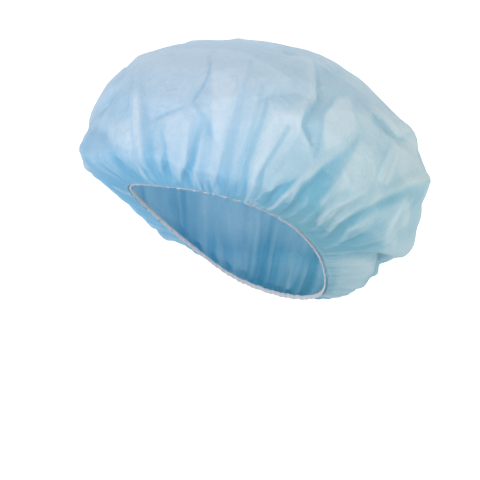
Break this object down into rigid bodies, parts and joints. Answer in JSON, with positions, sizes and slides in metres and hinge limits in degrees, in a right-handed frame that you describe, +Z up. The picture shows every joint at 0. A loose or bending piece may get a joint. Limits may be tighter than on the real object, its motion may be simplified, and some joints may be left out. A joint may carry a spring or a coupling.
{
  "type": "disposable bouffant hair cap",
  "caption": "Puffed hair cap of thin see-through light blue non-woven sheet, gathered all round its edge on a narrow elastic loop that grips the head.",
  "frame": {"origin": "centre of the head opening, midway between the forehead and nape edges of the hem", "axes": "+Z up as worn, -Y towards the forehead, +X towards the wearer's left"},
  "size_m": [0.3125, 0.3126, 0.2362],
  "materials": {
    "sheet": "thin see-through spun-bonded non-woven, matt, light blue",
    "elastic": "matt off-white covered elastic"
  },
  "bodies": {
    "root": {"crown": "sheet", "elastic_band": "elastic"}
  },
  "joints": []
}
